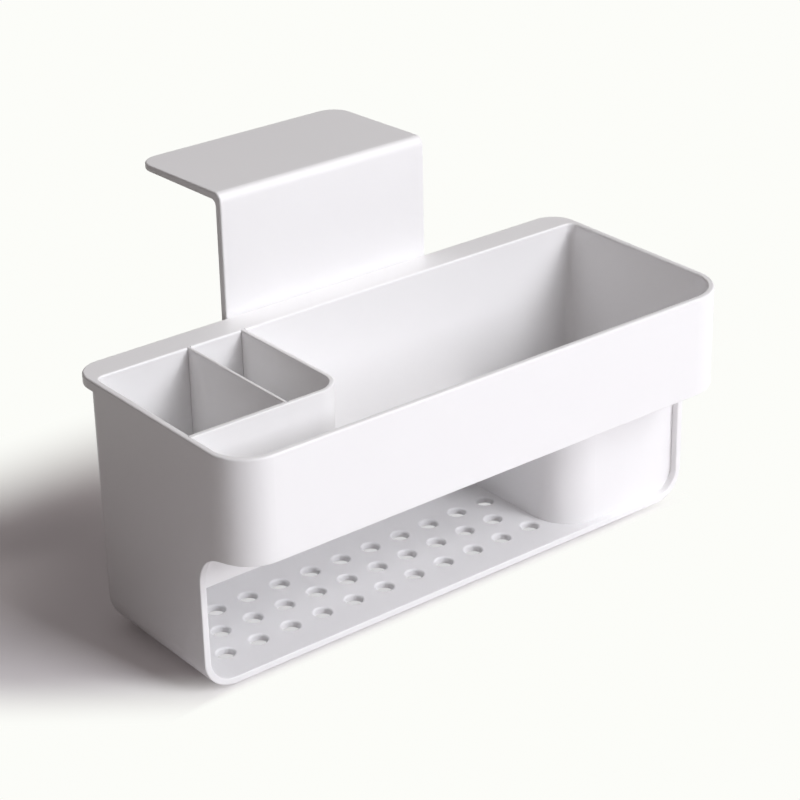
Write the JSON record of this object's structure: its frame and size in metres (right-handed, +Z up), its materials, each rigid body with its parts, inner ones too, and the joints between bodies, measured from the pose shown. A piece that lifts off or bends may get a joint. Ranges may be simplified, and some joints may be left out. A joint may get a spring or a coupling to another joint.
{
  "type": "sink caddy",
  "caption": "Hanging sink caddy: tub with a deep well, lift-out corner partition and divider, perforated shelf behind a low window, height-adjustable bracket",
  "frame": {"origin": "centre of the bounding box in plan, on the plane that the feet stand on", "axes": "+X along the tub toward the deep well, +Y from the open front to the wall that it hangs on, +Z up"},
  "size_m": [0.26, 0.1774, 0.1692],
  "materials": {
    "body_plastic": "satin white moulded plastic",
    "panel_plastic": "satin white moulded plastic",
    "bracket_plastic": "satin white moulded plastic",
    "rail_plastic": "matte white moulded plastic",
    "screw_steel": "plain stainless steel",
    "pad_rubber": "soft grey silicone",
    "foot_rubber": "soft grey silicone"
  },
  "bodies": {
    "tub": {"caddy_body": "body_plastic", "left_guide_rail": "rail_plastic", "right_guide_rail": "rail_plastic", "rail_screws": "screw_steel", "front_left_foot": "foot_rubber", "back_left_foot": "foot_rubber", "front_right_foot": "foot_rubber", "back_right_foot": "foot_rubber"},
    "hanger": {"hanging_bracket": "bracket_plastic", "counter_pads": "pad_rubber", "upper_wall_pad": "pad_rubber", "lower_wall_pad": "pad_rubber"},
    "partition": {"corner_partition": "panel_plastic"},
    "divider": {"cross_divider": "panel_plastic"}
  },
  "joints": [
    {"name": "hanger_height", "type": "slide", "parent": "tub", "child": "hanger", "axis": [0, 0, 1], "range_m": [-0.025, 0.025]},
    {"name": "partition_lift", "type": "slide", "parent": "tub", "child": "partition", "axis": [0, 0, 1], "range_m": [0, 0.07]},
    {"name": "divider_lift", "type": "slide", "parent": "tub", "child": "divider", "axis": [0, 0, 1], "range_m": [0, 0.07]}
  ]
}
